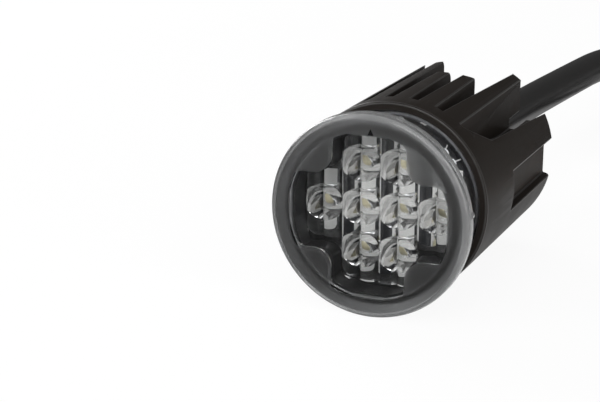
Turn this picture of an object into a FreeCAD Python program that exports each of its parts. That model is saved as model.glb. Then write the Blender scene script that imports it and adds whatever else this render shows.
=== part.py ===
import FreeCAD, Part
import math
import os
from FreeCAD import Vector

# Hide-away strobe lamp. The lamp axis is Y, the lens looks along -Y and +Z is up.
# The origin is on the axis, on the rear face of the lens flange, where a panel seats.
# All sizes are in millimetres.

# Lens
flange_radius = 19.0
flange_overhang = 2.2
flange_thickness = 3.0
flange_front_round = 1.1
flange_rear_round = 0.4
window_thickness = 1.9
window_side_margin = 0.2
window_corner = 3.2
window_pad_height = 0.3
window_edge_margin = 0.15
skirt_wall = 1.1
skirt_insertion = 2.2
nub_radius = 0.7
nub_proud = 0.35
nub_length = 1.0
nub_angles = (7.0, 74.0)

# Housing outside
groove_width = 9.0
drum_wall = 1.75
drum_length = 4.6
drum_edge_chamfer = 0.25
housing_length = 44.0
envelope_draft = 0.05
envelope_rear_round = 1.5
blank_margin = 1.0
outer_fin_inset = 8.85
fin_root_width = 3.4
fin_end_width = 1.7
fin_corner_round = 1.8
fin_ends = ((0.8, -0.6), (4.6, 0.0), (15.2, 0.0), (14.8, 0.0), (0.8, 0.6))
valley_front_drop = 4.55
valley_floor_wall = 2.2
valley_run = 26.5
lobe_front_inset = 3.45
lobe_rear_inset = 2.05
pocket_front = 16.6
pocket_depth = 2.2
pocket_floor_top = 1.9
pocket_floor_bottom = -4.2
pocket_flare_top = 3.4
pocket_flare_bottom = 0.6
recess_wall = 4.7
recess_depth = 8.0

# Housing inside
seat_depth = 3.6
skirt_fit_gap = 0.05
rear_wall = 2.5
cavity_width = 24.8
cavity_ceiling = 4.1
ledge_height = -3.6
ledge_width = 1.9
cavity_floor = -11.5
lead_channel_depth = 4.4

# Light engine
fit_gap = 0.2
spreader_thickness = 2.0
pad_thickness = 0.5
board_thickness = 1.6
board_edge_gap = 0.3
optic_side_margin = 0.9
cell_rows = (2, 4, 2)
cell_row_pitch = 8.2
cell_gap = 0.1
flutes_per_cell = 2
flute_crown = 1.95
optic_front = 2.8
optic_plate = 1.4
optic_corner = 2.0
collimator_foot = 2.1
collimator_bulge = 0.25
pit_radius = 1.55
pit_depth = 1.7
carrier_lip = 0.7
carrier_rim = 0.5
carrier_notch_angles = (24.0, 60.0)
carrier_notch_inset = 6.5
led_width = 2.0
led_height = 0.5
led_dome = 0.85
screw_inset = 2.05
screw_radius = 1.0
screw_head_radius = 1.55
screw_head_height = 1.2
lead_radius = 0.6
lead_bend = 1.6
lead_inset = 1.9
lead_spacing = 2.15
solder_radius = 1.0
solder_height = 0.8

# Driver
driver_thickness = 1.2
driver_front_gap = 1.0
driver_rear_gap = 2.9
inductor_size = (7.0, 7.0, 4.0)
inductor_corner = 1.2
inductor_place = (-4.6, 3.0)
capacitor_radius = 2.5
capacitor_height = 5.2
capacitor_place = (4.0, 5.5)
controller_size = (5.0, 4.0, 1.5)
controller_place = (-5.4, 12.0)
switch_size = (6.5, 6.0, 2.3)
switch_place = (5.8, 10.6)

# Cable
cable_radius = 3.9
cable_fit_gap = 0.05
cable_inner_reach = 2.0
cable_bend_share = 0.45
core_radius = 0.9
core_spread = 1.35
core_bend = 1.0
core_foot_inset = 1.3
core_end_length = 20.0
boot_neck_radius = 5.0
boot_collar_radius = 6.1
boot_collar_length = 1.8
boot_tip_radius = 4.7
boot_length = 16.0
coil_radius = 39.0
coil_corner = 2.6
coil_upper_sweep = 260.0
coil_lower_start = 220.0
coil_lower_sweep = 320.0
tie_angle = 100.0
tie_width = 5.0
tie_thickness = 0.5
cable_route = [
    (0.0, 79.0, 0.0),
    (3.2, 119.0, -0.4),
    (5.4, 145.5, -0.8),
    (10.5, 160.7, -2.6),
    (17.7, 170.8, -4.6),
    (27.7, 178.2, -6.1),
    (39.6, 182.0, -6.8),
    (52.0, 182.0, -6.8),
]

# Sizes and places that follow from the ones above
skirt_radius = flange_radius - flange_overhang
skirt_bore = skirt_radius - skirt_wall
seat_radius = skirt_bore - fit_gap
drum_radius = skirt_radius + drum_wall
envelope_rear_radius = drum_radius - envelope_draft
recess_radius = envelope_rear_radius - recess_wall
outer_fin = (len(fin_ends) - 1) / 2
fin_pitch = (drum_radius - outer_fin_inset) / outer_fin
cell_pitch = 2 * (seat_radius - optic_side_margin) / max(cell_rows)
collimator_mouth = cell_pitch / 2 - cell_gap
window_span = 2 * (skirt_bore - window_side_margin)
window_arm = cell_pitch * min(cell_rows)
housing_front = groove_width
drum_rear = housing_front + drum_length
housing_rear = housing_front + housing_length
core_rear = housing_rear - recess_depth
cavity_rear = core_rear - rear_wall
seat_y = housing_front + seat_depth
skirt_end = housing_front + skirt_insertion
window_rear = window_thickness - flange_thickness
pad_rear = window_rear + window_pad_height
carrier_front = pad_rear + fit_gap
spreader_front = seat_y - spreader_thickness
board_rear = spreader_front - pad_thickness
board_front = board_rear - board_thickness
plate_rear = optic_front + optic_plate
cable_inner_end = cavity_rear - cable_inner_reach
driver_front = seat_y + driver_front_gap
driver_rear = cable_inner_end - driver_rear_gap
driver_top = ledge_height + driver_thickness
coil_x = cable_route[-1][0]
coil_y = cable_route[-1][1] - coil_radius
coil_bottom = cable_route[-1][2] - 3 * cable_radius
match_limit = 1e-6
ACROSS = Vector(1, 0, 0)
AXIS = Vector(0, 1, 0)
UP = Vector(0, 0, 1)


def rod(radius, start, end, x=0.0, z=0.0):
    """A cylinder along the lamp axis from y = start to y = end."""
    return Part.makeCylinder(radius, end - start, Vector(x, start, z), AXIS)


def sector(radius, start, end, first, last):
    """A wedge of such a cylinder between two angles, from +X towards +Z."""
    wedge = Part.makeCylinder(radius, end - start, Vector(0, start, 0), AXIS, last - first)
    wedge.rotate(Vector(0, 0, 0), AXIS, 90 - last)
    return wedge


def block(x, y, z):
    """A box from three (low, high) pairs."""
    size = [high - low for low, high in (x, y, z)]
    return Part.makeBox(size[0], size[1], size[2], Vector(x[0], y[0], z[0]))


def polygon(points):
    """A closed wire through points."""
    return Part.makePolygon(list(points) + [points[0]])


def turned(profile):
    """A solid of revolution about the lamp axis from (radius, y) points."""
    face = Part.Face(polygon([Vector(r, y, 0) for r, y in profile]))
    return face.revolve(Vector(0, 0, 0), AXIS, 360)


def joined(shapes):
    """Shapes fused into one clean solid."""
    first, rest = shapes[0], shapes[1:]
    fused = first.multiFuse(rest).removeSplitter()
    return fused.Solids[0] if len(fused.Solids) == 1 else fused


def rim_edges(body, radius, y):
    """The round edges of a turned body that have a radius at a place along the axis."""
    rings = [edge for edge in body.Edges if isinstance(edge.Curve, Part.Circle)]
    sized = [edge for edge in rings if abs(edge.Curve.Radius - radius) < match_limit]
    return [edge for edge in sized if abs(edge.Curve.Center.y - y) < match_limit]


def mirrored(shape):
    """The shape's mirror image across the lamp's vertical middle plane."""
    return shape.mirror(Vector(0, 0, 0), ACROSS)


def edges_along(shape, direction):
    """The straight edges of a shape that run along a direction."""
    return [
        edge
        for edge in shape.Edges
        if isinstance(edge.Curve, Part.Line)
        and edge.tangentAt(edge.FirstParameter).cross(direction).Length < match_limit
    ]


def plus_prism(span, arm, corner, limit, start, end):
    """A plus-shaped prism with rounded corners, kept inside a circle."""
    a, s = arm / 2, span / 2
    turns = [(a, s), (a, a), (s, a), (s, -a), (a, -a), (a, -s)]
    outline = turns + [(-x, -z) for x, z in turns]
    face = Part.Face(polygon([Vector(x, start, z) for x, z in outline]))
    prism = face.extrude(Vector(0, end - start, 0))
    prism = prism.makeFillet(corner, edges_along(prism, AXIS))
    return prism.common(rod(limit, start, end))


def bent_path(points, radii):
    """Straight runs through points, joined by tangent arcs, as one wire."""
    edges = []
    here = points[0]
    for i, radius in enumerate(radii):
        corner = points[i + 1]
        back = (points[i] - corner).normalize()
        ahead = (points[i + 2] - corner).normalize()
        half = (math.pi - back.getAngle(ahead)) / 2
        reach = radius * math.tan(half)
        first = corner + back * reach
        last = corner + ahead * reach
        bisector = (back + ahead).normalize()
        middle = corner + bisector * (radius / math.cos(half) - radius)
        edges.append(Part.LineSegment(here, first).toShape())
        edges.append(Part.Arc(first, middle, last).toShape())
        here = last
    edges.append(Part.LineSegment(here, points[-1]).toShape())
    return Part.Wire(edges)


def tube_along(path, radius):
    """A round solid swept along a wire."""
    start = path.Edges[0]
    place = start.valueAt(start.FirstParameter)
    ring = Part.makeCircle(radius, place, start.tangentAt(start.FirstParameter))
    return path.makePipeShell([Part.Wire(ring)], True, False)


def cell_centres():
    """The (x, z) centre of each collimator, row by row from the top."""
    for row, count in enumerate(cell_rows):
        z = cell_row_pitch * ((len(cell_rows) - 1) / 2 - row)
        for column in range(count):
            yield cell_pitch * (column - (count - 1) / 2), z


def screw_places():
    """The three corners between the arms that hold a screw; the fourth has the leads."""
    offset = (seat_radius - screw_inset) / math.sqrt(2)
    return [(-offset, offset), (-offset, -offset), (offset, -offset)]


def lead_places():
    """The (x, z) of the positive and the negative joint near the upper right edge of the board."""
    reach = seat_radius - lead_inset
    turns = (math.radians(45), math.radians(45) - lead_spacing / reach)
    return [(reach * math.cos(turn), reach * math.sin(turn)) for turn in turns]


def lens():
    body = turned(
        [
            (0, -flange_thickness),
            (flange_radius, -flange_thickness),
            (flange_radius, 0),
            (skirt_radius, 0),
            (skirt_radius, skirt_end),
            (skirt_bore, skirt_end),
            (skirt_bore, window_rear),
            (0, window_rear),
        ]
    )
    body = body.makeFillet(flange_front_round, rim_edges(body, flange_radius, -flange_thickness))
    body = body.makeFillet(flange_rear_round, rim_edges(body, flange_radius, 0))
    limit = skirt_bore - window_edge_margin
    pad = plus_prism(window_span, window_arm, window_corner, limit, window_rear, pad_rear)
    nubs = []
    nub_rear = -flange_rear_round
    for turn in map(math.radians, nub_angles):
        reach = flange_radius + nub_proud - nub_radius
        x, z = reach * math.cos(turn), reach * math.sin(turn)
        nubs.append(rod(nub_radius, nub_rear - nub_length, nub_rear, x, z))
    return joined([body, pad] + nubs)


def lens_seal():
    bore = rod(skirt_bore, skirt_end, seat_y)
    return rod(skirt_radius, skirt_end, seat_y).cut(bore)


def envelope():
    """The round outside of the housing, with a little draft and a rounded rear rim."""
    body = turned(
        [
            (0, housing_front),
            (drum_radius - drum_edge_chamfer, housing_front),
            (drum_radius, housing_front + drum_edge_chamfer),
            (drum_radius, drum_rear),
            (envelope_rear_radius, housing_rear),
            (0, housing_rear),
        ]
    )
    return body.makeFillet(envelope_rear_round, rim_edges(body, envelope_rear_radius, housing_rear))


def below_valleys():
    """All that lies under the valley floor, which curves down from the drum to a flat."""
    flat_start = drum_rear + valley_run
    valley_front_height = drum_radius - valley_front_drop
    valley_rear_height = cavity_ceiling + valley_floor_wall
    drop = valley_front_height - valley_rear_height
    radius = (valley_run**2 + drop**2) / (2 * drop)
    half_turn = math.asin(valley_run / radius) / 2
    front = Vector(-drum_radius, drum_rear, valley_front_height)
    middle = Vector(
        -drum_radius,
        flat_start - radius * math.sin(half_turn),
        valley_rear_height + radius * (1 - math.cos(half_turn)),
    )
    flat = Vector(-drum_radius, flat_start, valley_rear_height)
    rear_top = Vector(-drum_radius, housing_rear, valley_rear_height)
    rear_low = Vector(-drum_radius, housing_rear, -drum_radius)
    front_low = Vector(-drum_radius, drum_rear, -drum_radius)
    edges = [Part.Arc(front, middle, flat).toShape()]
    for a, b in ((flat, rear_top), (rear_top, rear_low), (rear_low, front_low), (front_low, front)):
        edges.append(Part.LineSegment(a, b).toShape())
    return Part.Face(Part.Wire(edges)).extrude(Vector(2 * drum_radius, 0, 0))


def fin(place, setback, splay):
    """One upright cooling fin, thinner to the rear, with a rounded rear corner."""
    x = place * fin_pitch
    plan = [
        Vector(x - fin_root_width / 2, drum_rear, 0),
        Vector(x + fin_root_width / 2, drum_rear, 0),
        Vector(x + splay + fin_end_width / 2, housing_rear, 0),
        Vector(x + splay - fin_end_width / 2, housing_rear, 0),
    ]
    wedge = Part.Face(polygon(plan)).extrude(UP * drum_radius)
    top = math.sqrt(drum_radius**2 - max(abs(x) - fin_root_width / 2, 0) ** 2)
    end = housing_rear - setback
    side = block((-drum_radius, drum_radius), (drum_rear, end), (0, top))
    upper = [edge for edge in edges_along(side, ACROSS) if edge.CenterOfMass.z > top / 2]
    rear_corner = max(upper, key=lambda edge: edge.CenterOfMass.y)
    return wedge.common(side.makeFillet(fin_corner_round, [rear_corner]))


def lobe():
    """The right-hand shoulder between the side pocket and the last valley."""
    plan = [
        Vector(drum_radius - lobe_front_inset, drum_rear, 0),
        Vector(drum_radius, drum_rear, 0),
        Vector(drum_radius, housing_rear, 0),
        Vector(drum_radius - lobe_rear_inset, housing_rear, 0),
    ]
    return Part.Face(polygon(plan)).extrude(UP * drum_radius)


def side_pocket():
    """The relief in the right-hand side, open to the rear."""
    floor_x = drum_radius - pocket_depth
    outer_x = floor_x + 2 * pocket_depth
    start = housing_front + pocket_front
    profile = [
        Vector(floor_x, start, pocket_floor_bottom),
        Vector(floor_x, start, pocket_floor_top),
        Vector(outer_x, start, pocket_floor_top + pocket_flare_top),
        Vector(outer_x, start, pocket_floor_bottom - pocket_flare_bottom),
    ]
    return Part.Face(polygon(profile)).extrude(Vector(0, housing_rear - start, 0))


def driver_cavity():
    """The room for the driver, with a ledge down each side for its board."""
    half = cavity_width / 2
    span = (seat_y, cavity_rear)
    upper = block((-half, half), span, (ledge_height, cavity_ceiling))
    lower = block((ledge_width - half, half - ledge_width), span, (cavity_floor, ledge_height))
    room = lead_radius + fit_gap
    low_x = min(x for x, z in lead_places()) - room
    high_x = max(x for x, z in lead_places()) + room
    top = max(z for x, z in lead_places()) + room
    channel = block((low_x, high_x), (seat_y, seat_y + lead_channel_depth), (ledge_height, top))
    return joined([upper, lower, channel])


def housing():
    front = rod(drum_radius + blank_margin, housing_front, drum_rear)
    lobes = [lobe(), mirrored(lobe())]
    fins = [fin(i - outer_fin, *fin_end) for i, fin_end in enumerate(fin_ends)]
    body = joined([front, below_valleys()] + lobes + fins).common(envelope())
    cuts = [
        side_pocket(),
        mirrored(side_pocket()),
        rod(recess_radius, core_rear, housing_rear),
        rod(skirt_radius + skirt_fit_gap, housing_front, seat_y),
        driver_cavity(),
        rod(boot_neck_radius, cavity_rear, core_rear),
    ]
    for cut in cuts:
        body = body.cut(cut)
    return body.removeSplitter().Solids[0]


def drilled(shape, screw_hole, start, end):
    """A plate of the light engine with its lead holes and screw holes."""
    for x, z in lead_places():
        shape = shape.cut(rod(lead_radius + fit_gap, start, end, x, z))
    for x, z in screw_places():
        shape = shape.cut(rod(screw_hole, start, end, x, z))
    return shape


def heat_spreader():
    disc = rod(seat_radius, spreader_front, seat_y)
    return drilled(disc, screw_radius, spreader_front, seat_y)


def thermal_pad():
    disc = rod(seat_radius - board_edge_gap, board_rear, spreader_front)
    return drilled(disc, screw_radius + fit_gap, board_rear, spreader_front)


def led_board():
    disc = rod(seat_radius - board_edge_gap, board_front, board_rear)
    return drilled(disc, screw_radius + fit_gap, board_front, board_rear)


def led(x, z):
    half = led_width / 2
    base = board_front - led_height
    package = block((x - half, x + half), (base, board_front), (z - half, z + half))
    dome = Part.makeSphere(led_dome, Vector(x, base, z))
    return joined([package, dome.common(rod(led_dome, base - led_dome, base, x, z))])


def fluted_plate():
    """The optic's front plate, a square with upright convex flutes across its whole width."""
    pitch = cell_pitch / flutes_per_cell
    count = max(cell_rows) * flutes_per_cell
    half = pitch * count / 2
    low = optic_front + flute_crown - math.sqrt(flute_crown**2 - (pitch / 2) ** 2)
    edges = []
    for i in range(count):
        a = Vector(pitch * i - half, low, -half)
        b = Vector(pitch * (i + 1) - half, low, -half)
        crest = Vector(pitch * (i + 0.5) - half, optic_front, -half)
        edges.append(Part.Arc(a, crest, b).toShape())
    corners = [
        Vector(half, low, -half),
        Vector(half, plate_rear, -half),
        Vector(-half, plate_rear, -half),
        Vector(-half, low, -half),
    ]
    for a, b in zip(corners, corners[1:]):
        edges.append(Part.LineSegment(a, b).toShape())
    return Part.Face(Part.Wire(edges)).extrude(UP * 2 * half)


def optic_plan(margin, limit, start, end):
    """The optic's plus-shaped plan as a prism, grown or shrunk by a margin, inside a circle."""
    span = cell_pitch * max(cell_rows) + 2 * margin
    arm = cell_pitch * min(cell_rows) + 2 * margin
    return plus_prism(span, arm, optic_corner, limit, start, end)


def collimator():
    """A cup-shaped light guide on the axis, with a bulging wall, from the plate to the board."""
    mouth = Vector(collimator_mouth, plate_rear, 0)
    foot = Vector(collimator_foot, board_front, 0)
    middle = (mouth + foot) / 2 + ACROSS * collimator_bulge
    edges = [Part.Arc(mouth, middle, foot).toShape()]
    corners = [foot, Vector(0, board_front, 0), Vector(0, plate_rear, 0), mouth]
    for a, b in zip(corners, corners[1:]):
        edges.append(Part.LineSegment(a, b).toShape())
    return Part.Face(Part.Wire(edges)).revolve(Vector(0, 0, 0), AXIS, 360)


def optic_array():
    limit = seat_radius - carrier_rim - fit_gap
    border = optic_plan(0, limit, optic_front, plate_rear)
    guides = []
    pits = []
    for x, z in cell_centres():
        guides.append(collimator().translated(Vector(x, 0, z)))
        pits.append(rod(pit_radius, board_front - pit_depth, board_front, x, z))
    body = joined([fluted_plate().common(border)] + guides)
    return body.cut(Part.makeCompound(pits)).Solids[0]


def optic_carrier():
    """The black frame round the optic, with a lip under its edge, cut away over the leads."""
    frame = rod(seat_radius, carrier_front, board_front)
    cuts = [
        optic_plan(fit_gap, seat_radius - carrier_rim, carrier_front, plate_rear),
        optic_plan(-carrier_lip, seat_radius - carrier_rim, plate_rear, board_front),
    ]
    for x, z in cell_centres():
        cuts.append(rod(collimator_mouth + fit_gap, plate_rear, board_front, x, z))
    for x, z in screw_places():
        cuts.append(rod(screw_radius + fit_gap, plate_rear, board_front, x, z))
        cuts.append(rod(screw_head_radius + fit_gap, carrier_front, plate_rear, x, z))
    notch = sector(skirt_radius, carrier_front, board_front, *carrier_notch_angles)
    cuts.append(notch.cut(rod(seat_radius - carrier_notch_inset, carrier_front, board_front)))
    for cut in cuts:
        frame = frame.cut(cut)
    return frame.removeSplitter()


def carrier_screw(x, z):
    shank = rod(screw_radius, plate_rear, seat_y, x, z)
    head = rod(screw_head_radius, plate_rear - screw_head_height, plate_rear, x, z)
    return joined([shank, head])


def lead(x, z):
    """A lead from its pad on the light board, back and down to the driver board."""
    front = Vector(x, board_front, z)
    corner_y = seat_y + lead_channel_depth / 2
    path = bent_path([front, Vector(x, corner_y, z), Vector(x, corner_y, driver_top)], [lead_bend])
    return tube_along(path, lead_radius)


def solder_joint(x, z):
    foot = Vector(x, board_front, z)
    return Part.makeCone(solder_radius, solder_radius / 2, solder_height, foot, -AXIS)


def driver_board():
    half = cavity_width / 2 - fit_gap
    return block((-half, half), (driver_front, driver_rear), (ledge_height, driver_top))


def chip(size, place):
    """A square component on the driver board, placed from the board's front edge."""
    width, length, height = size
    x, along = place
    start = driver_front + along
    across = (x - width / 2, x + width / 2)
    return block(across, (start, start + length), (driver_top, driver_top + height))


def driver_inductor():
    body = chip(inductor_size, inductor_place)
    return body.makeFillet(inductor_corner, edges_along(body, UP))


def driver_capacitor():
    x, along = capacitor_place
    foot = Vector(x, driver_front + along, driver_top)
    return Part.makeCylinder(capacitor_radius, capacitor_height, foot)


def cable_boot():
    """The rubber strain relief in the rear wall, tapered along the cable."""
    start = core_rear
    bore = cable_radius + cable_fit_gap
    return turned(
        [
            (bore, cavity_rear),
            (boot_neck_radius, cavity_rear),
            (boot_neck_radius, start),
            (boot_collar_radius, start),
            (boot_collar_radius, start + boot_collar_length),
            (boot_neck_radius + cable_fit_gap, start + boot_collar_length),
            (boot_tip_radius, start + boot_length),
            (bore, start + boot_length),
        ]
    )


def core_places():
    """The four cores' (sideways, upward) offsets inside the jacket."""
    return [(sx * core_spread, sz * core_spread) for sz in (1, -1) for sx in (1, -1)]


def inner_core(x, z):
    """A core from the jacket's end to its pad on the driver board, the upper two further in."""
    foot_y = driver_rear - core_foot_inset - (z > 0) * 2 * core_spread
    start = Vector(x, cable_inner_end, z)
    corner = Vector(x, foot_y, z)
    foot = Vector(x, foot_y, driver_top)
    return tube_along(bent_path([start, corner, foot], [core_bend]), core_radius)


def cable_run():
    """The free cable from inside the housing to the coil."""
    points = [Vector(0, cable_inner_end, 0)] + [Vector(*p) for p in cable_route]
    radii = []
    for a, b, c in zip(points, points[1:], points[2:]):
        turn = (b - a).getAngle(c - b)
        shorter = min((b - a).Length, (c - b).Length)
        radii.append(cable_bend_share * shorter / math.tan(turn / 2))
    path = bent_path(points, radii)
    print("cable run", round(path.Length, 1), "mm, tightest bend", round(min(radii), 1), "mm")
    return tube_along(path, cable_radius)


def coil_section(bottom):
    """One layer of the coil at the cable's entry: a rounded square across X."""
    y = coil_y + coil_radius
    across = (y - cable_radius, y + cable_radius)
    bar = block((coil_x, coil_x + cable_radius), across, (bottom, bottom + 2 * cable_radius))
    bar = bar.makeFillet(coil_corner, edges_along(bar, ACROSS))
    return min(bar.Faces, key=lambda face: face.CenterOfMass.x)


def coil_layer(level, first, sweep):
    """A layer of the coil, clockwise from above, with angles from the cable's entry."""
    centre = Vector(coil_x, coil_y, 0)
    layer = coil_section(coil_bottom + 2 * cable_radius * level).revolve(centre, UP, -sweep)
    layer.rotate(centre, UP, -first)
    return layer


def cable_coil():
    upper = coil_layer(1, 0.0, coil_upper_sweep)
    lower = coil_layer(0, coil_lower_start, coil_lower_sweep)
    return joined([upper, lower])


def coil_tie():
    """A flat band round both layers of the coil."""
    y = coil_y + coil_radius
    span = (coil_x - tie_width / 2, coil_x + tie_width / 2)
    slack = cable_fit_gap + tie_width**2 / (8 * (coil_radius - cable_radius))
    inner_y = (y - cable_radius - slack, y + cable_radius + slack)
    inner_z = (coil_bottom, coil_bottom + 4 * cable_radius)
    outer_y = (inner_y[0] - tie_thickness, inner_y[1] + tie_thickness)
    outer_z = (inner_z[0] - tie_thickness, inner_z[1] + tie_thickness)
    band = block(span, outer_y, outer_z).cut(block(span, inner_y, inner_z))
    band.rotate(Vector(coil_x, coil_y, 0), UP, -tie_angle)
    return band


def end_core(side, rise):
    """A bare-ended core that follows the coil's curve past the jacket's end."""
    centre = Vector(coil_x, coil_y, coil_bottom + cable_radius + rise)
    sweep = math.degrees(core_end_length / coil_radius)
    ring = Part.makeTorus(coil_radius + side, core_radius, Vector(0, 0, 0), UP, -180, 180, sweep)
    ring.rotate(Vector(0, 0, 0), UP, 90 - coil_lower_start - coil_lower_sweep - sweep)
    ring.translate(centre)
    return ring


def build():
    """Every piece of the lamp by its name."""
    pieces = {
        "housing": housing(),
        "lens": lens(),
        "lens_seal": lens_seal(),
        "heat_spreader": heat_spreader(),
        "thermal_pad": thermal_pad(),
        "led_board": led_board(),
        "optic_array": optic_array(),
        "optic_carrier": optic_carrier(),
        "driver_board": driver_board(),
        "driver_inductor": driver_inductor(),
        "driver_capacitor": driver_capacitor(),
        "driver_controller": chip(controller_size, controller_place),
        "driver_switch": chip(switch_size, switch_place),
        "cable_boot": cable_boot(),
        "cable_run": cable_run(),
        "cable_coil": cable_coil(),
        "coil_tie": coil_tie(),
    }
    for number, (x, z) in enumerate(cell_centres(), 1):
        pieces[f"led_{number}"] = led(x, z)
    for number, (x, z) in enumerate(screw_places(), 1):
        pieces[f"carrier_screw_{number}"] = carrier_screw(x, z)
    for name, (x, z) in zip(("positive", "negative"), lead_places()):
        pieces[f"lead_{name}"] = lead(x, z)
        pieces[f"solder_{name}"] = solder_joint(x, z)
    for name, (x, z) in zip(("red", "black", "yellow", "white"), core_places()):
        pieces[f"inner_core_{name}"] = inner_core(x, z)
        pieces[f"end_core_{name}"] = end_core(x, z)
    return pieces


os.makedirs("parts", exist_ok=True)
for name, shape in build().items():
    print(name, "valid", shape.isValid(), "solids", len(shape.Solids), "volume", round(shape.Volume, 2))
    shape.exportStep(f"parts/{name}.step")
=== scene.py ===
import math
import bmesh
import bpy
from mathutils import Matrix, Vector
from mathutils.bvhtree import BVHTree


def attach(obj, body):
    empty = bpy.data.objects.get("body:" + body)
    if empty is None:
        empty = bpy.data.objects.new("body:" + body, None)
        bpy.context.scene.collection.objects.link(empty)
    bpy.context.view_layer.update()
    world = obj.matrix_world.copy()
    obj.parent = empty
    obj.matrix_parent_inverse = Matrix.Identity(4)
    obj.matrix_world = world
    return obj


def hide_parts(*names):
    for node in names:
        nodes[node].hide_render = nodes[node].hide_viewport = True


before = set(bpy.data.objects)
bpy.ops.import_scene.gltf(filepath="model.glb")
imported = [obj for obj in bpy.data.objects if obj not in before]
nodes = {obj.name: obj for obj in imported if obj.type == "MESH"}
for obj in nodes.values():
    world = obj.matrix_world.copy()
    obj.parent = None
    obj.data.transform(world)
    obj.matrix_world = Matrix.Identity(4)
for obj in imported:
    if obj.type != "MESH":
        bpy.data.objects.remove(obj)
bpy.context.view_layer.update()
scene = bpy.context.scene
mm = 0.001
print("frame loaded,", len(nodes), "nodes")

# camera, from the round rims in the picture
cameraSet = {"place": (100.6, -254.6, 87.2), "azimuth": 24.3, "elevation": 17.24, "lens": 96.0}
cameraData = bpy.data.cameras.new("camera")
cameraData.lens = cameraSet["lens"]
cameraData.sensor_width = 36.0
cameraData.clip_start = 0.01
camera = bpy.data.objects.new("camera", cameraData)
camera.location = Vector(cameraSet["place"]) * mm
camera.rotation_euler = (
    math.radians(90 - cameraSet["elevation"]),
    0,
    math.radians(cameraSet["azimuth"]),
)
scene.collection.objects.link(camera)
scene.camera = camera
scene.view_settings.view_transform = "Standard"


# small helpers for node trees

def makeGroup(name, inputs, outputs):
    group = bpy.data.node_groups.new(name, "ShaderNodeTree")
    for label, kind, value in inputs:
        socket = group.interface.new_socket(label, in_out="INPUT", socket_type=kind)
        socket.default_value = value
    for label, kind in outputs:
        group.interface.new_socket(label, in_out="OUTPUT", socket_type=kind)
    start = group.nodes.new("NodeGroupInput")
    end = group.nodes.new("NodeGroupOutput")
    return group, start, end


def addNode(tree, kind, **values):
    node = tree.nodes.new(kind)
    for key, value in values.items():
        setattr(node, key, value)
    return node


def mathNode(tree, operation, first, second):
    node = addNode(tree, "ShaderNodeMath", operation=operation)
    for slot, value in enumerate((first, second)):
        if isinstance(value, (int, float)):
            node.inputs[slot].default_value = value
        else:
            tree.links.new(value, node.inputs[slot])
    return node.outputs[0]


def mixColour(tree, factor, first, second):
    node = addNode(tree, "ShaderNodeMix", data_type="RGBA")
    for slot, value in ((0, factor), (6, first), (7, second)):
        if isinstance(value, (int, float, tuple)):
            node.inputs[slot].default_value = value
        else:
            tree.links.new(value, node.inputs[slot])
    return node.outputs[2]


def smoothRange(tree, value, limits, levels=(0.0, 1.0)):
    node = addNode(tree, "ShaderNodeMapRange", interpolation_type="SMOOTHSTEP")
    tree.links.new(value, node.inputs["Value"])
    node.inputs["From Min"].default_value, node.inputs["From Max"].default_value = limits
    node.inputs["To Min"].default_value, node.inputs["To Max"].default_value = levels
    return node.outputs["Result"]


# grain: two sizes of noise that tint a colour, vary the roughness and give a height
grainSet = {"fineDetail": 4.0, "broadDetail": 3.0, "broadScale": 0.06}
grain, start, end = makeGroup(
    "grain",
    [
        ("Colour", "NodeSocketColor", (0.5, 0.5, 0.5, 1)),
        ("Tint", "NodeSocketColor", (0.5, 0.5, 0.5, 1)),
        ("Roughness", "NodeSocketFloat", 0.5),
        ("Spread", "NodeSocketFloat", 0.1),
        ("Scale", "NodeSocketFloat", 2000.0),
    ],
    [("Colour", "NodeSocketColor"), ("Roughness", "NodeSocketFloat"), ("Height", "NodeSocketFloat")],
)
place = addNode(grain, "ShaderNodeTexCoord")
fine = addNode(grain, "ShaderNodeTexNoise")
fine.inputs["Detail"].default_value = grainSet["fineDetail"]
broad = addNode(grain, "ShaderNodeTexNoise")
broad.inputs["Detail"].default_value = grainSet["broadDetail"]
grain.links.new(place.outputs["Object"], fine.inputs["Vector"])
grain.links.new(place.outputs["Object"], broad.inputs["Vector"])
grain.links.new(start.outputs["Scale"], fine.inputs["Scale"])
broadScale = mathNode(grain, "MULTIPLY", start.outputs["Scale"], grainSet["broadScale"])
grain.links.new(broadScale, broad.inputs["Scale"])
grain.links.new(
    mixColour(grain, broad.outputs["Fac"], start.outputs["Colour"], start.outputs["Tint"]),
    end.inputs["Colour"],
)
swing = mathNode(grain, "SUBTRACT", broad.outputs["Fac"], 0.5)
swing = mathNode(grain, "MULTIPLY", swing, start.outputs["Spread"])
grain.links.new(mathNode(grain, "ADD", start.outputs["Roughness"], swing), end.inputs["Roughness"])
grain.links.new(fine.outputs["Fac"], end.inputs["Height"])

# step mask: one below a limit along one axis of the row frame, zero above it
stepMask, start, end = makeGroup(
    "stepMask",
    [("Axis", "NodeSocketVector", (0, 1, 0)), ("Limit", "NodeSocketFloat", 0.0)],
    [("Mask", "NodeSocketFloat")],
)
place = addNode(stepMask, "ShaderNodeTexCoord")
along = addNode(stepMask, "ShaderNodeVectorMath", operation="DOT_PRODUCT")
stepMask.links.new(place.outputs["Object"], along.inputs[0])
stepMask.links.new(start.outputs["Axis"], along.inputs[1])
stepMask.links.new(
    mathNode(stepMask, "LESS_THAN", along.outputs["Value"], start.outputs["Limit"]),
    end.inputs["Mask"],
)

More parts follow.
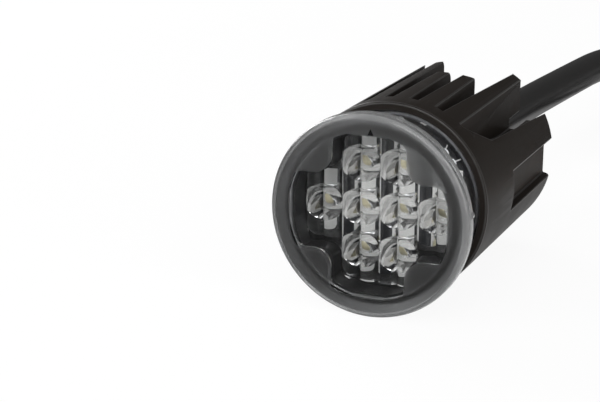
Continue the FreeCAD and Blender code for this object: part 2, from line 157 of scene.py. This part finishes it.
# plus mask: one inside a plus-shaped area about the lamp axis, parted into upright bars
plusMask, start, end = makeGroup(
    "plusMask",
    [
        ("Reach", "NodeSocketFloat", 0.014),
        ("Half Arm", "NodeSocketFloat", 0.007),
        ("Half Pitch", "NodeSocketFloat", 0.0035),
        ("Half Gap", "NodeSocketFloat", 0.001),
    ],
    [("Mask", "NodeSocketFloat")],
)
place = addNode(plusMask, "ShaderNodeTexCoord")
split = addNode(plusMask, "ShaderNodeSeparateXYZ")
plusMask.links.new(place.outputs["Object"], split.inputs[0])
across = mathNode(plusMask, "ABSOLUTE", split.outputs["X"], 0.0)
upright = mathNode(plusMask, "ABSOLUTE", split.outputs["Z"], 0.0)
longer = mathNode(plusMask, "MAXIMUM", across, upright)
shorter = mathNode(plusMask, "MINIMUM", across, upright)
inPlus = mathNode(
    plusMask,
    "MULTIPLY",
    mathNode(plusMask, "LESS_THAN", longer, start.outputs["Reach"]),
    mathNode(plusMask, "LESS_THAN", shorter, start.outputs["Half Arm"]),
)
fromGap = mathNode(plusMask, "PINGPONG", split.outputs["X"], start.outputs["Half Pitch"])
inBar = mathNode(plusMask, "GREATER_THAN", fromGap, start.outputs["Half Gap"])
plusMask.links.new(mathNode(plusMask, "MULTIPLY", inPlus, inBar), end.inputs["Mask"])


def makeMaterial(name, look):
    material = bpy.data.materials.new(name)
    material.use_nodes = True
    tree = material.node_tree
    shader = tree.nodes["Principled BSDF"]
    texture = addNode(tree, "ShaderNodeGroup", node_tree=grain)
    texture.inputs["Colour"].default_value = (*look["colour"], 1)
    texture.inputs["Tint"].default_value = (*look["tint"], 1)
    texture.inputs["Roughness"].default_value = look["rough"]
    texture.inputs["Spread"].default_value = look.get("spread", 0.1)
    texture.inputs["Scale"].default_value = look.get("scale", 2000.0)
    tree.links.new(texture.outputs["Colour"], shader.inputs["Base Color"])
    tree.links.new(texture.outputs["Roughness"], shader.inputs["Roughness"])
    shader.inputs["Metallic"].default_value = look.get("metal", 0.0)
    shader.inputs["Transmission Weight"].default_value = look.get("clear", 0.0)
    shader.inputs["IOR"].default_value = look.get("index", 1.5)
    shader.inputs["Specular IOR Level"].default_value = look.get("shine", 0.5)
    if look.get("bump"):
        bump = addNode(tree, "ShaderNodeBump")
        bump.inputs["Strength"].default_value = look["bump"]
        bump.inputs["Distance"].default_value = look.get("bumpDepth", 0.00005)
        tree.links.new(texture.outputs["Height"], bump.inputs["Height"])
        tree.links.new(bump.outputs["Normal"], shader.inputs["Normal"])
    if look.get("passes"):  # lamp light reaches what lies behind clear plastic
        rays = addNode(tree, "ShaderNodeLightPath")
        through = addNode(tree, "ShaderNodeBsdfTransparent")
        through.inputs["Color"].default_value = (*[look["passes"]] * 3, 1)
        either = addNode(tree, "ShaderNodeMixShader")
        soft = mathNode(tree, "MAXIMUM", rays.outputs["Is Shadow Ray"], rays.outputs["Is Diffuse Ray"])
        tree.links.new(soft, either.inputs[0])
        tree.links.new(shader.outputs[0], either.inputs[1])
        tree.links.new(through.outputs[0], either.inputs[2])
        tree.links.new(either.outputs[0], tree.nodes["Material Output"].inputs["Surface"])
    return material


def maskColour(material, group, values, colour):
    tree = material.node_tree
    shader = tree.nodes["Principled BSDF"]
    under = shader.inputs["Base Color"].links[0].from_socket
    mask = addNode(tree, "ShaderNodeGroup", node_tree=group)
    for label, value in values.items():
        mask.inputs[label].default_value = value
    mixed = mixColour(tree, mask.outputs["Mask"], under, colour)
    tree.links.new(mixed, shader.inputs["Base Color"])
    return mask.outputs["Mask"]


def paintNodes(material, *names):
    for name in names:
        mesh = nodes[name].data
        mesh.materials.clear()
        mesh.materials.append(material)


# small helpers for meshes, which are drawn in millimetres

def makeObject(name, points, faces):
    mesh = bpy.data.meshes.new(name)
    mesh.from_pydata(points, [], faces)
    work = bmesh.new()
    work.from_mesh(mesh)
    bmesh.ops.recalc_face_normals(work, faces=work.faces)
    work.to_mesh(mesh)
    work.free()
    piece = bpy.data.objects.new(name, mesh)
    scene.collection.objects.link(piece)
    return piece


def spinPoints(profile, steps, centre=(0.0, 0.0)):
    points, rings, faces = [], [], []
    for radius, y in profile:
        if radius < 1e-6:
            rings.append([len(points)] * steps)
            points.append((centre[0], y, centre[1]))
            continue
        rings.append([len(points) + i for i in range(steps)])
        for i in range(steps):
            turn = 2 * math.pi * i / steps
            points.append((centre[0] + radius * math.cos(turn), y, centre[1] + radius * math.sin(turn)))
    for low, high in zip(rings, rings[1:]):
        for i in range(steps):
            k = (i + 1) % steps
            corners = list(dict.fromkeys((low[i], low[k], high[k], high[i])))
            if len(corners) > 2:
                faces.append(corners)
    return points, faces


def prismPoints(outline, first, last):
    count = len(outline)
    points = [(x, first, z) for x, z in outline] + [(x, last, z) for x, z in outline]
    faces = [list(range(count)), list(range(2 * count - 1, count - 1, -1))]
    for i in range(count):
        k = (i + 1) % count
        faces.append([i, k, count + k, count + i])
    return points, faces


def arcPoints(centre, radius, first, last, count):
    found = []
    for i in range(count + 1):
        turn = math.radians(first + (last - first) * i / count)
        found.append((centre[0] + radius * math.cos(turn), centre[1] + radius * math.sin(turn)))
    return found


def plusOutline(span, arm, corner, limit, steps=8):
    s, a, c = span / 2, arm / 2, corner
    quarter = arcPoints((s - c, a - c), c, 0, 90, steps)
    quarter += arcPoints((a + c, a + c), c, 270, 180, steps)
    quarter += arcPoints((a - c, s - c), c, 0, 90, steps)
    outline = []
    for turn in range(4):
        for x, z in quarter:
            for _ in range(turn):
                x, z = -z, x
            away = math.hypot(x, z)
            shrink = min(1.0, limit / away)
            outline.append((x * shrink, z * shrink))
    return outline


def combine(target, cutter, operation):
    step = target.modifiers.new("combine", "BOOLEAN")
    step.object = cutter
    step.operation = operation
    step.solver = "EXACT"
    depsgraph = bpy.context.evaluated_depsgraph_get()
    mesh = bpy.data.meshes.new_from_object(target.evaluated_get(depsgraph))
    work = bmesh.new()
    work.from_mesh(mesh)
    bmesh.ops.remove_doubles(work, verts=work.verts, dist=0.001)  # slivers along the cut
    bmesh.ops.dissolve_degenerate(work, edges=work.edges, dist=0.0005)
    work.to_mesh(mesh)
    work.free()
    target.modifiers.clear()
    target.data = mesh
    bpy.data.objects.remove(cutter)


def smoothBelow(mesh, angle):
    mesh.shade_smooth()
    mesh.set_sharp_from_angle(angle=math.radians(angle))


def settle(piece, slotName, *replaced):
    piece.data.transform(Matrix.Scale(mm, 4))
    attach(piece, "root")
    if replaced:
        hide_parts(*replaced)


# cable: free run from inside the housing, then a tied coil past the right-hand edge
cableSet = {
    "radius": 3.9,
    "length": 0.54,
    "leaves": (0.0, 0.061, 0.0),
    "route": [
        (0.0, 40.5, 0.0),
        (0.0, 79.0, 0.0),
        (3.2, 119.0, -0.4),
        (5.4, 145.5, -0.8),
        (10.5, 160.7, -2.6),
        (17.7, 170.8, -4.6),
        (27.7, 178.2, -6.1),
        (39.6, 182.0, -6.8),
        (52.0, 182.0, -6.8),
    ],
    "coilRadius": 39.0,
    "dip": (200.0, 280.0),
    "turned": 540,
    "step": 15,
    "ringSteps": 6,
    "runSteps": 8,
    "look": {
        "colour": (0.012, 0.0118, 0.0115),
        "tint": (0.018, 0.0175, 0.017),
        "rough": 0.36,
        "spread": 0.12,
        "scale": 2600.0,
        "bump": 0.18,
        "shine": 0.3,
    },
}
route = list(cableSet["route"])
coilX, coilY, coilZ = route[-1][0], route[-1][1] - cableSet["coilRadius"], route[-1][2]
for turn in range(cableSet["step"], cableSet["turned"] + 1, cableSet["step"]):
    first, last = cableSet["dip"]
    share = min(max((turn - first) / (last - first), 0.0), 1.0)
    drop = 2 * cableSet["radius"] * share * share * (3 - 2 * share)
    angle = math.radians(turn)
    route.append(
        (
            coilX + cableSet["coilRadius"] * math.sin(angle),
            coilY + cableSet["coilRadius"] * math.cos(angle),
            coilZ - drop,
        )
    )
cableCurve = bpy.data.curves.new("cableJacket", "CURVE")
cableCurve.dimensions = "3D"
cableCurve.bevel_depth = cableSet["radius"] * mm
cableCurve.bevel_resolution = cableSet["ringSteps"]
cableCurve.resolution_u = cableSet["runSteps"]
cableCurve.use_fill_caps = True
spline = cableCurve.splines.new("NURBS")
spline.points.add(len(route) - 1)
for point, spot in zip(spline.points, route):
    point.co = (spot[0] * mm, spot[1] * mm, spot[2] * mm, 1)
spline.order_u = 3
spline.use_endpoint_u = True
cableJacket = bpy.data.objects.new("cableJacket", cableCurve)
scene.collection.objects.link(cableJacket)
cableCurve.materials.append(makeMaterial("cableJacket", cableSet["look"]))
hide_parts("cable_run", "cable_coil")
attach(cableJacket, "root")
print("cable done,", len(route), "route points")

# housing: the CAD casting with its sharp edges broken
housingSet = {
    "weld": 0.002,
    "flat": 0.6,
    "sharp": 32,
    "edge": 0.25,
    "edgeSteps": 3,
    "stray": 0.13,
    "look": {
        "colour": (0.0112, 0.0088, 0.0072),
        "tint": (0.016, 0.0128, 0.0106),
        "rough": 0.5,
        "spread": 0.12,
        "scale": 2200.0,
        "bump": 0.2,
        "shine": 0.15,
    },
    # edge faces: a shinier rubbed coat, and a lighter colour that is a painted highlight
    "edgeWearAndHighlight": {
        "colour": (0.018, 0.0165, 0.0152),
        "tint": (0.026, 0.0238, 0.022),
        "rough": 0.38,
        "spread": 0.1,
        "scale": 2200.0,
        "bump": 0.1,
        "shine": 0.5,
    },
}
housingMesh = nodes["housing"].data.copy()
housingShell = bpy.data.objects.new("housingShell", housingMesh)
scene.collection.objects.link(housingShell)
work = bmesh.new()
work.from_mesh(housingMesh)
bmesh.ops.remove_doubles(work, verts=work.verts, dist=housingSet["weld"] * mm)
bmesh.ops.dissolve_limit(
    work,
    angle_limit=math.radians(housingSet["flat"]),
    verts=work.verts,
    edges=work.edges,
    use_dissolve_boundaries=False,
)
work.to_mesh(housingMesh)
work.free()
housingMesh.materials.clear()
housingMesh.materials.append(makeMaterial("housingBlack", housingSet["look"]))
housingMesh.materials.append(makeMaterial("housingEdgeWearAndHighlight", housingSet["edgeWearAndHighlight"]))  # coat rubbed smooth and shinier; its lighter colour is a painted highlight along the edges
housingMesh.transform(Matrix.Scale(1 / mm, 4))
smoothBelow(housingMesh, housingSet["sharp"])
casting = BVHTree.FromPolygons(
    [v.co.copy() for v in housingMesh.vertices], [tuple(f.vertices) for f in housingMesh.polygons]
)
bevel = housingShell.modifiers.new("edges", "BEVEL")
bevel.width = housingSet["edge"]
bevel.segments = housingSet["edgeSteps"]
bevel.limit_method = "ANGLE"
bevel.angle_limit = math.radians(housingSet["sharp"])
bevel.harden_normals = True
# the bevel's faces take the edge material with its painted highlight
bevel.material = 1
bevel.use_clamp_overlap = False
depsgraph = bpy.context.evaluated_depsgraph_get()
housingMesh = bpy.data.meshes.new_from_object(housingShell.evaluated_get(depsgraph))
housingShell.modifiers.clear()
housingShell.data = housingMesh
putBack = 0
for vertex in housingMesh.vertices:  # edges that cross at a fin's tip stay on the casting
    near, _, _, away = casting.find_nearest(vertex.co)
    if away > housingSet["stray"]:
        vertex.co = near
        putBack += 1
settle(housingShell, "housing_black", "housing")
print("housing done,", len(housingMesh.polygons), "faces,", putBack, "points put back")

# lens: clear flange and skirt, frosted inside round a plus-shaped window
lensSet = {
    "flange": 19.0,
    "frontRound": 1.1,
    "rearRound": 0.4,
    "skirt": 16.8,
    "bore": 15.7,
    "skirtEnd": 11.2,
    "front": -3.0,
    "inner": -1.1,
    "pad": 0.3,
    "padRoot": 0.3,
    "sunk": 0.06,
    "cutPast": 1.0,
    "span": 31.0,
    "arm": 14.6,
    "corner": 3.2,
    "edgeMargin": 0.15,
    "rimFrom": 17.3,
    "nubs": (7.0, 74.0),
    "nubInset": 0.35,
    "nubRadius": 0.7,
    "nubLevels": (-1.4, -0.4),
    "nubSteps": 24,
    "roundSteps": (8, 4),
    "steps": 160,
    "smooth": 25,
    "clear": {
        "colour": (0.98, 0.985, 0.99),
        "tint": (0.95, 0.96, 0.965),
        "rough": 0.015,
        "spread": 0.02,
        "clear": 1.0,
        "passes": 0.95,
        "index": 1.58,
    },
    "frost": {
        "colour": (0.33, 0.335, 0.34),
        "tint": (0.23, 0.235, 0.24),
        "rough": 0.42,
        "spread": 0.12,
        "clear": 0.98,
        "passes": 0.3,
        "index": 1.58,
        "scale": 4000.0,
        "bump": 0.15,
    },
    "rim": {
        "colour": (0.66, 0.665, 0.67),
        "tint": (0.54, 0.545, 0.55),
        "rough": 0.24,
        "spread": 0.1,
        "clear": 0.9,
        "passes": 0.7,
        "index": 1.58,
        "scale": 3000.0,
    },
}
profile = [(0.0, lensSet["front"])]
frontSteps, rearSteps = lensSet["roundSteps"]
frontCentre = (lensSet["flange"] - lensSet["frontRound"], lensSet["front"] + lensSet["frontRound"])
profile += arcPoints(frontCentre, lensSet["frontRound"], -90, 0, frontSteps)
rearCentre = (lensSet["flange"] - lensSet["rearRound"], -lensSet["rearRound"])
profile += arcPoints(rearCentre, lensSet["rearRound"], 0, 90, rearSteps)
profile += [
    (lensSet["skirt"], 0.0),
    (lensSet["skirt"], lensSet["skirtEnd"]),
    (lensSet["bore"], lensSet["skirtEnd"]),
    (lensSet["bore"], lensSet["inner"]),
    (0.0, lensSet["inner"]),
]
lens = makeObject("lensBody", *spinPoints(profile, lensSet["steps"]))
outline = plusOutline(
    lensSet["span"], lensSet["arm"], lensSet["corner"], lensSet["bore"] - lensSet["edgeMargin"]
)
padFront, padRear = lensSet["inner"] - lensSet["padRoot"], lensSet["inner"] + lensSet["pad"]
combine(lens, makeObject("windowPad", *prismPoints(outline, padFront, padRear)), "UNION")
sunkFront, sunkRear = lensSet["front"] - lensSet["cutPast"], lensSet["front"] + lensSet["sunk"]
combine(lens, makeObject("windowSunk", *prismPoints(outline, sunkFront, sunkRear)), "DIFFERENCE")
nubFront, nubRear = lensSet["nubLevels"]
nubRadius = lensSet["nubRadius"]
nubProfile = [(0.0, nubFront), (nubRadius, nubFront), (nubRadius, nubRear), (0.0, nubRear)]
for turn in lensSet["nubs"]:
    reach = lensSet["flange"] - lensSet["nubInset"]
    centre = (reach * math.cos(math.radians(turn)), reach * math.sin(math.radians(turn)))
    combine(lens, makeObject("nub", *spinPoints(nubProfile, lensSet["nubSteps"], centre)), "UNION")
lens.data.materials.clear()
for name in ("clear", "frost", "rim"):
    lens.data.materials.append(makeMaterial("lens" + name.title(), lensSet[name]))
frostLevels = [lensSet["inner"], lensSet["front"], 0.0]
for face in lens.data.polygons:  # 0 clear, 1 frost on the flats round the window, 2 rim
    level = face.center.y
    flat = abs(face.normal.y) > 0.9
    reach = max(math.hypot(*lens.data.vertices[k].co.xz) for k in face.vertices)
    if flat and min(abs(level - frostLevel) for frostLevel in frostLevels) < 0.01:
        face.material_index = 1
    elif level < 0.01 and reach > lensSet["rimFrom"]:
        face.material_index = 2
    else:
        face.material_index = 0
smoothBelow(lens.data, lensSet["smooth"])
settle(lens, "lens_clear", "lens")
print("lens done,", len(lens.data.polygons), "faces")

# top mark: a small dark triangle inside the frosted face
topMarkSet = {
    "tip": (0.5, 16.4),
    "width": 1.2,
    "height": 1.2,
    "thick": 0.04,
    "proud": 0.01,
    "look": {"colour": (0.004, 0.004, 0.004), "tint": (0.006, 0.006, 0.006), "rough": 0.9, "shine": 0.1},
}
tipX, tipZ = topMarkSet["tip"]
half, drop = topMarkSet["width"] / 2, topMarkSet["height"]
markOutline = [(tipX - half, tipZ - drop), (tipX + half, tipZ - drop), (tipX, tipZ)]
markFront = lensSet["front"] - topMarkSet["proud"]
topMark = makeObject("topMark", *prismPoints(markOutline, markFront, markFront + topMarkSet["thick"]))
topMark.data.materials.append(makeMaterial("topMark", topMarkSet["look"]))
settle(topMark, "lens_clear")

# optic: upright flutes in front, a curved collimator with a pit behind each cell
opticSet = {
    "pitch": 7.3,
    "rows": (2, 4, 2),
    "rowPitch": 8.2,
    "flutes": 2,
    "crown": 1.95,
    "front": 2.8,
    "plate": 1.4,
    "corner": 2.0,
    "limit": 14.8,
    "cutPast": 1.0,
    "mouth": 3.55,
    "foot": 2.1,
    "rear": 8.5,
    "pit": 1.5,
    "pitDepth": 1.95,
    "pitDraft": 0.08,
    "dome": 0.38,
    "domeReach": 0.94,
    "root": 0.25,
    "wallBend": 0.72,
    "curveSteps": 12,
    "domeSteps": 6,
    "steps": 64,
    "smooth": 28,
    "look": {
        "colour": (0.985, 0.99, 0.99),
        "tint": (0.97, 0.975, 0.98),
        "rough": 0.004,
        "spread": 0.006,
        "clear": 1.0,
        "passes": 0.95,
        "index": 1.49,
    },
}
fluteWidth = opticSet["pitch"] / opticSet["flutes"]
fluteCount = max(opticSet["rows"]) * opticSet["flutes"]
left = -fluteWidth * fluteCount / 2
plateRear = opticSet["front"] + opticSet["plate"]
section = []
curveSteps = opticSet["curveSteps"]
for i in range(fluteCount):
    for k in range(curveSteps):
        across = fluteWidth * (k / curveSteps - 0.5)
        sag = opticSet["crown"] - math.sqrt(opticSet["crown"] ** 2 - across**2)
        section.append((left + fluteWidth * (i + k / curveSteps), opticSet["front"] + sag))
edgeSag = opticSet["crown"] - math.sqrt(opticSet["crown"] ** 2 - (fluteWidth / 2) ** 2)
section += [(-left, opticSet["front"] + edgeSag), (-left, plateRear), (left, plateRear)]
points, faces = prismPoints(section, left, -left)
optic = makeObject("opticBody", [(x, y, z) for x, z, y in points], faces)
outline = plusOutline(
    opticSet["pitch"] * max(opticSet["rows"]),
    opticSet["pitch"] * min(opticSet["rows"]),
    opticSet["corner"],
    opticSet["limit"],
)
borderFront, borderRear = opticSet["front"] - opticSet["cutPast"], plateRear + opticSet["cutPast"]
combine(optic, makeObject("opticBorder", *prismPoints(outline, borderFront, borderRear)), "INTERSECT")
wall = []
for i in range(curveSteps + 1):
    share = i / curveSteps
    radius = opticSet["foot"] + (opticSet["mouth"] - opticSet["foot"]) * share ** opticSet["wallBend"]
    wall.append((radius, opticSet["rear"] + (plateRear - opticSet["rear"]) * share))
roof = opticSet["rear"] - opticSet["pitDepth"]
root = plateRear - opticSet["root"]
cellProfile = [(0.0, root), (opticSet["mouth"], root)] + wall[::-1]
cellProfile += [(opticSet["pit"], opticSet["rear"]), (opticSet["pit"] - opticSet["pitDraft"], roof)]
for i in range(1, opticSet["domeSteps"] + 1):
    inward = 1 - i / opticSet["domeSteps"]
    radius = opticSet["pit"] * inward * opticSet["domeReach"]
    cellProfile.append((radius, roof + opticSet["dome"] * (1 - inward**2)))
centres = []
for row, cells in enumerate(opticSet["rows"]):
    for column in range(cells):
        centres.append(
            (
                opticSet["pitch"] * (column - (cells - 1) / 2),
                opticSet["rowPitch"] * ((len(opticSet["rows"]) - 1) / 2 - row),
            )
        )
points, faces = [], []
for centre in centres:
    cellPoints, cellFaces = spinPoints(cellProfile, opticSet["steps"], centre)
    faces += [[k + len(points) for k in face] for face in cellFaces]
    points += cellPoints
combine(optic, makeObject("opticCells", points, faces), "UNION")
optic.data.materials.clear()
optic.data.materials.append(makeMaterial("opticClear", opticSet["look"]))
smoothBelow(optic.data, opticSet["smooth"])
settle(optic, "optic_clear", "optic_array")
print("optic done,", len(optic.data.polygons), "faces")

# light board, its parts and the black carrier
boardSet = {
    "front": 8.5,
    "mask": {
        "colour": (0.006, 0.0065, 0.009), "tint": (0.01, 0.0105, 0.014), "rough": 0.3, "spread": 0.1,
    },
    "print": (14.4, 7.0),
    "printGap": 2.8,
    "printColour": (0.9, 0.9, 0.88, 1),
    "ink": {"colour": (0.75, 0.75, 0.75), "tint": (0.6, 0.6, 0.6), "rough": 0.6},
    "carrier": {
        "colour": (0.006, 0.006, 0.006),
        "tint": (0.009, 0.009, 0.009),
        "rough": 0.5,
        "bump": 0.1,
        "shine": 0.2,
    },
    "solder": {"colour": (0.86, 0.87, 0.88), "tint": (0.74, 0.75, 0.77), "rough": 0.2, "metal": 1.0},
    "screw": {"colour": (0.6, 0.6, 0.61), "tint": (0.5, 0.5, 0.51), "rough": 0.32, "metal": 1.0},
    "package": {"colour": (0.8, 0.79, 0.76), "tint": (0.72, 0.71, 0.69), "rough": 0.45},
    "phosphor": (0.74, 0.68, 0.46, 1),
    "phosphorFrom": 7.99,
}
boardLook = makeMaterial("boardMask", boardSet["mask"])
printArea = {
    "Reach": boardSet["print"][0] * mm,
    "Half Arm": boardSet["print"][1] * mm,
    "Half Pitch": opticSet["pitch"] / 2 * mm,
    "Half Gap": boardSet["printGap"] / 2 * mm,
}
maskColour(boardLook, plusMask, printArea, boardSet["printColour"])
paintNodes(boardLook, "led_board")
paintNodes(makeMaterial("carrierBlack", boardSet["carrier"]), "optic_carrier")
paintNodes(makeMaterial("solder", boardSet["solder"]), "solder_positive", "solder_negative")
paintNodes(makeMaterial("screwSteel", boardSet["screw"]), *[f"carrier_screw_{i}" for i in (1, 2, 3)])
ledLook = makeMaterial("ledPackage", boardSet["package"])
maskColour(ledLook, stepMask, {"Limit": boardSet["phosphorFrom"] * mm}, boardSet["phosphor"])
paintNodes(ledLook, *[f"led_{i + 1}" for i in range(len(centres))])

# printed marks on the board beside the two joints
inkSet = {
    "bars": [
        ((9.85, 10.3), (10.3, 11.3), 0.22),
        ((11.75, 8.5), (12.7, 9.0), 0.22),
        ((8.0, 11.3), (8.8, 11.3), 0.18),
        ((8.4, 10.9), (8.4, 11.7), 0.18),
        ((12.5, 6.6), (13.2, 6.6), 0.18),
    ],
    "thick": 0.02,
}
points, faces = [], []
for first, last, width in inkSet["bars"]:
    run = Vector(last) - Vector(first)
    side = Vector((-run.y, run.x)).normalized() * (width / 2)
    bar = [Vector(first) + side, Vector(first) - side, Vector(last) - side, Vector(last) + side]
    corners = [(corner.x, corner.y) for corner in bar]
    barPoints, barFaces = prismPoints(corners, boardSet["front"] - inkSet["thick"], boardSet["front"])
    faces += [[k + len(points) for k in face] for face in barFaces]
    points += barPoints
boardInk = makeObject("boardInk", points, faces)
boardInk.data.materials.append(makeMaterial("boardInk", boardSet["ink"]))
settle(boardInk, "led_board")
print("light board done")

# everything behind the board
hiddenSet = {
    "spreader": {"colour": (0.7, 0.7, 0.71), "tint": (0.6, 0.6, 0.61), "rough": 0.35, "metal": 1.0},
    "pad": {"colour": (0.4, 0.42, 0.45), "tint": (0.34, 0.36, 0.38), "rough": 0.7},
    "driver": {"colour": (0.02, 0.12, 0.05), "tint": (0.03, 0.16, 0.07), "rough": 0.4},
    "epoxy": {"colour": (0.02, 0.02, 0.02), "tint": (0.032, 0.032, 0.032), "rough": 0.5},
    "can": {"colour": (0.72, 0.72, 0.73), "tint": (0.62, 0.62, 0.63), "rough": 0.3, "metal": 1.0},
    "rubber": {
        "colour": (0.018, 0.018, 0.018), "tint": (0.026, 0.026, 0.026), "rough": 0.55, "bump": 0.15,
    },
    "nylon": {"colour": (0.02, 0.02, 0.02), "tint": (0.03, 0.03, 0.03), "rough": 0.4},
}
paintNodes(makeMaterial("spreader", hiddenSet["spreader"]), "heat_spreader")
paintNodes(makeMaterial("thermalPad", hiddenSet["pad"]), "thermal_pad")
paintNodes(makeMaterial("driverMask", hiddenSet["driver"]), "driver_board")
paintNodes(
    makeMaterial("epoxy", hiddenSet["epoxy"]), "driver_inductor", "driver_controller", "driver_switch"
)
paintNodes(makeMaterial("capacitorCan", hiddenSet["can"]), "driver_capacitor")
paintNodes(makeMaterial("rubber", hiddenSet["rubber"]), "lens_seal", "cable_boot")
paintNodes(makeMaterial("tieNylon", hiddenSet["nylon"]), "coil_tie")

# cores of the cable, with stripped copper at the free ends
coreSet = {
    "red": {"colour": (0.5, 0.015, 0.015), "tint": (0.4, 0.012, 0.012), "rough": 0.35},
    "black": {"colour": (0.015, 0.015, 0.015), "tint": (0.024, 0.024, 0.024), "rough": 0.35},
    "yellow": {"colour": (0.7, 0.46, 0.02), "tint": (0.6, 0.4, 0.02), "rough": 0.35},
    "white": {"colour": (0.75, 0.75, 0.73), "tint": (0.66, 0.66, 0.64), "rough": 0.35},
    "copper": (0.72, 0.36, 0.2, 1),
    "bareFrom": 37.0,
}
for name in ("red", "black", "yellow", "white"):
    paintNodes(makeMaterial("core" + name.title(), coreSet[name]), "inner_core_" + name)
    stripped = makeMaterial("end" + name.title(), coreSet[name])
    bareArea = {"Axis": (1, 0, 0), "Limit": coreSet["bareFrom"] * mm}
    bare = maskColour(stripped, stepMask, bareArea, coreSet["copper"])
    stripped.node_tree.links.new(bare, stripped.node_tree.nodes["Principled BSDF"].inputs["Metallic"])
    paintNodes(stripped, "end_core_" + name)
    if name in ("red", "black"):
        lead = {"red": "lead_positive", "black": "lead_negative"}[name]
        paintNodes(nodes["inner_core_" + name].data.materials[0], lead)
print("inner pieces done")

# floor: white to the camera with the lamp's soft shadow
# gloss and clear parts see a painted glow in its place, dark in the strip that mirrors in the window, and
# behind at the left
floorSet = {
    "height": -19.05,
    "size": 6.0,
    "colour": (0.9, 0.9, 0.9, 1),
    "rough": 0.9,
    "white": 0.92,
    "mirrored": 0.8,
    "dark": 0.06,
    "across": (0.91, -0.41, 0.0),
    "strip": (0.018, 0.04),
    "behind": (-0.012, 0.012),
    "right": (-0.016, 0.012),
}
bpy.ops.mesh.primitive_plane_add(size=floorSet["size"], location=(0, 0, floorSet["height"] * mm))
floor = bpy.context.object
floor.name = "floor"
floorLook = bpy.data.materials.new("floor")
floorLook.use_nodes = True
tree = floorLook.node_tree
shader = tree.nodes["Principled BSDF"]
shader.inputs["Base Color"].default_value = floorSet["colour"]
shader.inputs["Roughness"].default_value = floorSet["rough"]
rays = addNode(tree, "ShaderNodeLightPath")
spot = addNode(tree, "ShaderNodeTexCoord")
aside = addNode(tree, "ShaderNodeVectorMath", operation="DOT_PRODUCT")
tree.links.new(spot.outputs["Object"], aside.inputs[0])
aside.inputs[1].default_value = floorSet["across"]
split = addNode(tree, "ShaderNodeSeparateXYZ")
tree.links.new(spot.outputs["Object"], split.inputs[0])
fromStrip = mathNode(tree, "ABSOLUTE", aside.outputs["Value"], 0.0)
offStrip = smoothRange(tree, fromStrip, floorSet["strip"])
behind = smoothRange(tree, split.outputs["Y"], floorSet["behind"])
right = smoothRange(tree, split.outputs["X"], floorSet["right"])
ahead = mathNode(tree, "MULTIPLY", mathNode(tree, "SUBTRACT", 1.0, behind), offStrip)
beside = mathNode(tree, "MULTIPLY", behind, right)
lit = mathNode(tree, "ADD", ahead, beside)
pale = mathNode(tree, "MULTIPLY", lit, floorSet["mirrored"] - floorSet["dark"])
# painted reflection: the glow that gloss and clear parts see instead of the lit floor
sheen = addNode(tree, "ShaderNodeEmission")
tree.links.new(mathNode(tree, "ADD", pale, floorSet["dark"]), sheen.inputs["Strength"])
glow = addNode(tree, "ShaderNodeEmission")
seen = addNode(tree, "ShaderNodeMixShader")
tree.links.new(mathNode(tree, "MULTIPLY", rays.outputs["Is Camera Ray"], floorSet["white"]), seen.inputs[0])
tree.links.new(shader.outputs[0], seen.inputs[1])
tree.links.new(glow.outputs[0], seen.inputs[2])
blend = addNode(tree, "ShaderNodeMixShader")
indirect = mathNode(tree, "MAXIMUM", rays.outputs["Is Glossy Ray"], rays.outputs["Is Transmission Ray"])
tree.links.new(indirect, blend.inputs[0])
tree.links.new(seen.outputs[0], blend.inputs[1])
tree.links.new(sheen.outputs[0], blend.inputs[2])
tree.links.new(blend.outputs[0], tree.nodes["Material Output"].inputs["Surface"])
floor.data.materials.append(floorLook)

# world: white to the camera and through clear parts
# its light comes from above the front and is dim behind, so that the optic keeps its contrast
worldSet = {
    "low": (0.02, 0.4),
    "front": (-0.25, 0.5),
    "dim": 0.08,
    "bright": 0.4,
    "mirrored": 0.12,
}
world = bpy.data.worlds.new("studio")
scene.world = world
world.use_nodes = True
tree = world.node_tree
background = tree.nodes["Background"]
background.inputs["Color"].default_value = (1, 1, 1, 1)
rays = addNode(tree, "ShaderNodeLightPath")
way = addNode(tree, "ShaderNodeTexCoord")
split = addNode(tree, "ShaderNodeSeparateXYZ")
tree.links.new(way.outputs["Generated"], split.inputs[0])
above = smoothRange(tree, split.outputs["Z"], worldSet["low"])
forward = mathNode(tree, "MULTIPLY", split.outputs["Y"], -1.0)
ahead = smoothRange(tree, forward, worldSet["front"], (worldSet["dim"], worldSet["bright"]))
glow = mathNode(tree, "MULTIPLY", above, ahead)
seen = mathNode(tree, "MAXIMUM", rays.outputs["Is Camera Ray"], rays.outputs["Is Transmission Ray"])
mirrored = mathNode(tree, "MULTIPLY", rays.outputs["Is Glossy Ray"], worldSet["mirrored"])
seen = mathNode(tree, "MAXIMUM", seen, mirrored)
tree.links.new(mathNode(tree, "MAXIMUM", glow, seen), background.inputs["Strength"])

lampAim = Vector((0, 0.02, 0))
lights = [
    {"name": "top", "place": (-0.05, -0.1, 0.7), "size": (0.7, 0.45), "power": 1.2},
    {"name": "left", "place": (-0.55, -0.5, 0.25), "size": (0.3, 0.6), "power": 2.0},
    {"name": "right", "place": (0.6, -0.2, 0.25), "size": (0.25, 0.6), "power": 2.2},
    {"name": "front", "place": (0.1, -0.65, 0.5), "size": (0.5, 0.4), "power": 2.8},
    {"name": "rear", "place": (-0.7, 0.45, 0.35), "size": (0.5, 0.5), "power": 5.0},
]
for light in lights:
    lamp = bpy.data.lights.new(light["name"], "AREA")
    lamp.shape = "RECTANGLE"
    lamp.size, lamp.size_y = light["size"]
    lamp.energy = light["power"]
    holder = bpy.data.objects.new(light["name"], lamp)
    holder.location = light["place"]
    aim = lampAim - Vector(light["place"])
    holder.rotation_euler = aim.to_track_quat("-Z", "Y").to_euler()
    scene.collection.objects.link(holder)
print("stage done")
